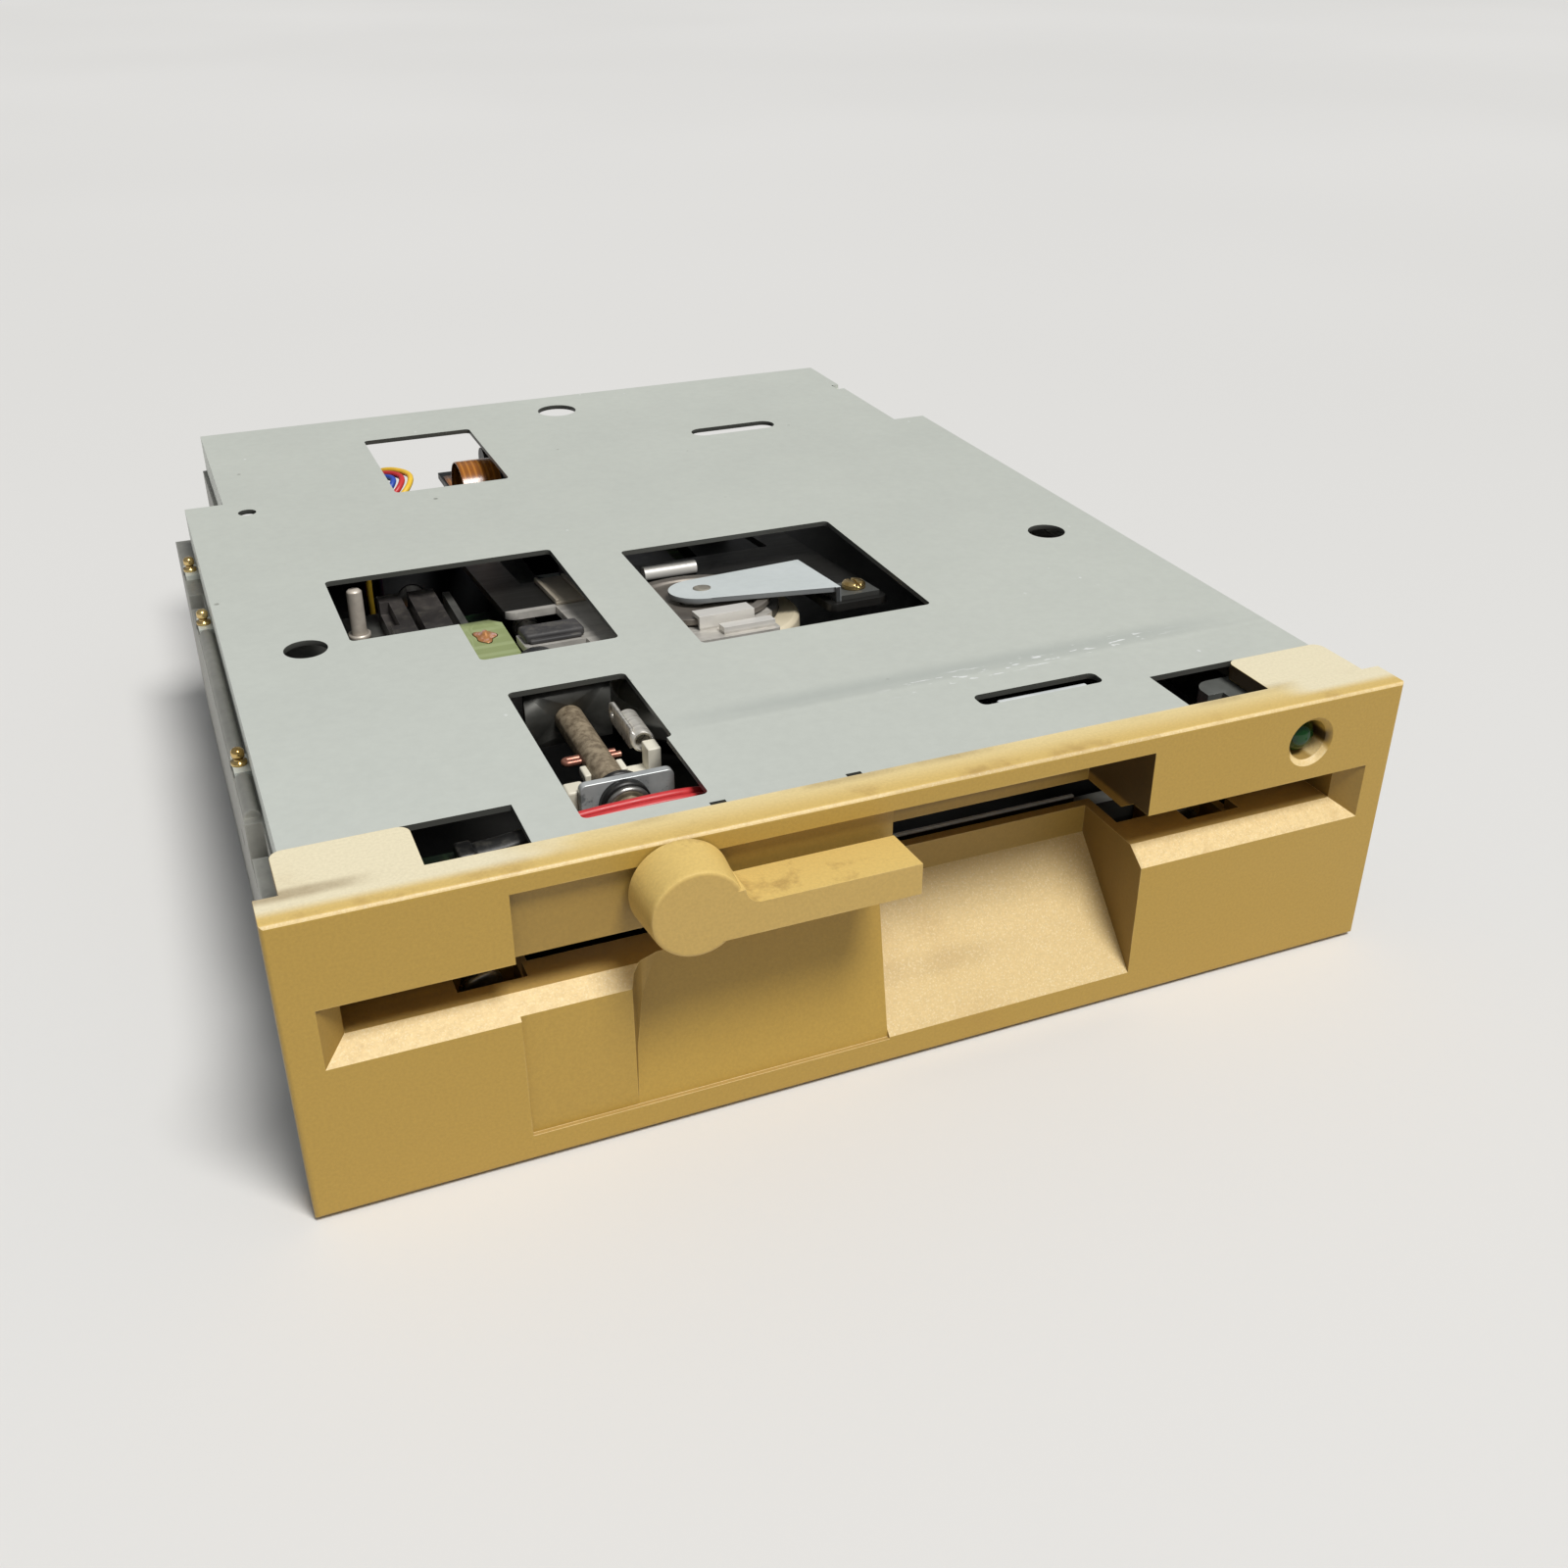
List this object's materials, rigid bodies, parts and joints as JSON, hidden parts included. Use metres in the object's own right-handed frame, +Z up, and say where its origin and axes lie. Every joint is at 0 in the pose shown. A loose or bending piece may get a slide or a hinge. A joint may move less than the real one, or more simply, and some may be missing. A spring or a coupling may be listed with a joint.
{
  "type": "floppy disk drive",
  "caption": "Half-height 5.25 inch floppy disk drive with a beige bezel, turn lever, disk slot with finger notch, pierced top plate, disk clamp, spindle and head carriage.",
  "frame": {"origin": "on the table under the middle of the drive's overall width and depth", "axes": "+X to the right seen from the front, +Y from the bezel to the card edge, +Z up"},
  "size_m": [0.1486, 0.2098, 0.0411],
  "materials": {
    "beige_plastic": "yellowed, fine grained moulding",
    "plated_sheet": "dull zinc-plated sheet",
    "cast_metal": "as cast, lightly tumbled",
    "steel": "turned or drawn steel",
    "black_plastic": "plain black moulding",
    "white_plastic": "off-white moulding",
    "cream_plastic": "cream moulding",
    "grey_plastic": "smoky moulding",
    "green_lens": "unlit green lens",
    "brass": "bright",
    "copper": "enamelled copper wire",
    "red_insulation": "smooth",
    "lead_insulation": "smooth; one blue, one red and one yellow lead",
    "circuit_board": "green solder mask",
    "magnet": "dark ferrite",
    "ceramic": "polished dark ceramic",
    "motor_can": "dark grey can",
    "amber_film": "clear amber film"
  },
  "bodies": {
    "drive": {"front_bezel": "beige_plastic", "top_plate": "plated_sheet", "chassis": "cast_metal", "lever_bracket": "plated_sheet", "shaft_bush": "steel", "bush_ring": "black_plastic", "shaft_hanger": "plated_sheet", "led_lens": "green_lens", "led_holder": "grey_plastic", "led_wires": "red_insulation", "front_board": "circuit_board", "board_bracket": "plated_sheet", "bezel_screws": "steel", "side_studs": "brass", "disk_guide_left": "black_plastic", "disk_guide_right": "black_plastic", "guide_screws": "steel", "sensor_shelf": "plated_sheet", "index_holder": "black_plastic", "index_board": "circuit_board", "index_post": "steel", "write_sensor": "black_plastic", "pivot_pins": "steel", "bearing_housing": "cast_metal", "spindle_bearings": "steel", "motor_board": "circuit_board", "motor_coils": "copper", "guide_rods": "steel", "stepper_motor": "motor_can", "stepper_wires": "lead_insulation", "track_sensor": "black_plastic", "main_board": "circuit_board", "card_contacts": "brass", "board_chips": "black_plastic", "power_header": "white_plastic", "power_pins": "steel"},
    "lever": {"lever_knob": "beige_plastic", "lever_shaft": "steel", "lever_crank": "white_plastic", "crank_clip": "steel", "shaft_washer": "black_plastic", "lift_cam": "black_plastic", "lever_pin": "copper"},
    "clamp": {"clamp_carrier": "plated_sheet", "clamp_leaf": "plated_sheet", "leaf_rivet": "steel", "clamp_screw": "brass"},
    "disk_hub": {"clamp_hub": "cream_plastic", "hub_button": "steel"},
    "spindle": {"spindle_hub": "cast_metal", "spindle_shaft": "steel", "rotor": "steel", "rotor_magnet": "magnet"},
    "carriage": {"head_carriage": "black_plastic", "lower_head": "ceramic", "arm_pin": "steel", "head_flex": "amber_film"},
    "head_arm": {"upper_arm": "black_plastic", "upper_head": "ceramic"},
    "screw": {"lead_screw": "steel"}
  },
  "joints": [
    {"name": "lever_turn", "type": "hinge", "parent": "drive", "child": "lever", "pos_m": [-0.0289, -0.07, 0.035], "axis": [0, 1, 0], "range_deg": [0, 90]},
    {"name": "clamp_swing", "type": "hinge", "parent": "drive", "child": "clamp", "pos_m": [0, 0.0499, 0.03], "axis": [1, 0, 0], "range_deg": [0, 5.82]},
    {"name": "hub_spin", "type": "hinge", "parent": "clamp", "child": "disk_hub", "pos_m": [0, -0.02522, 0.03263], "axis": [0, 0.1014, 0.9948], "continuous": true},
    {"name": "spindle_spin", "type": "hinge", "parent": "drive", "child": "spindle", "pos_m": [0, -0.0251, 0.015], "axis": [0, 0, 1], "continuous": true},
    {"name": "carriage_slide", "type": "slide", "parent": "drive", "child": "carriage", "axis": [0, 1, 0], "range_m": [-0.0206, 0]},
    {"name": "arm_lift", "type": "hinge", "parent": "carriage", "child": "head_arm", "pos_m": [0, 0.0694, 0.0315], "axis": [1, 0, 0], "range_deg": [0, 3.2]},
    {"name": "screw_turn", "type": "hinge", "parent": "drive", "child": "screw", "pos_m": [-0.0335, 0.03, 0.0162], "axis": [0, 1, 0], "range_deg": [-1170, 0]}
  ],
  "couplings": [
    {"joint": "clamp_swing", "follows": "lever_turn", "ratio": 0.06466},
    {"joint": "arm_lift", "follows": "lever_turn", "ratio": 0.03555},
    {"joint": "screw_turn", "follows": "carriage_slide", "rad_per_m": 989.47}
  ]
}
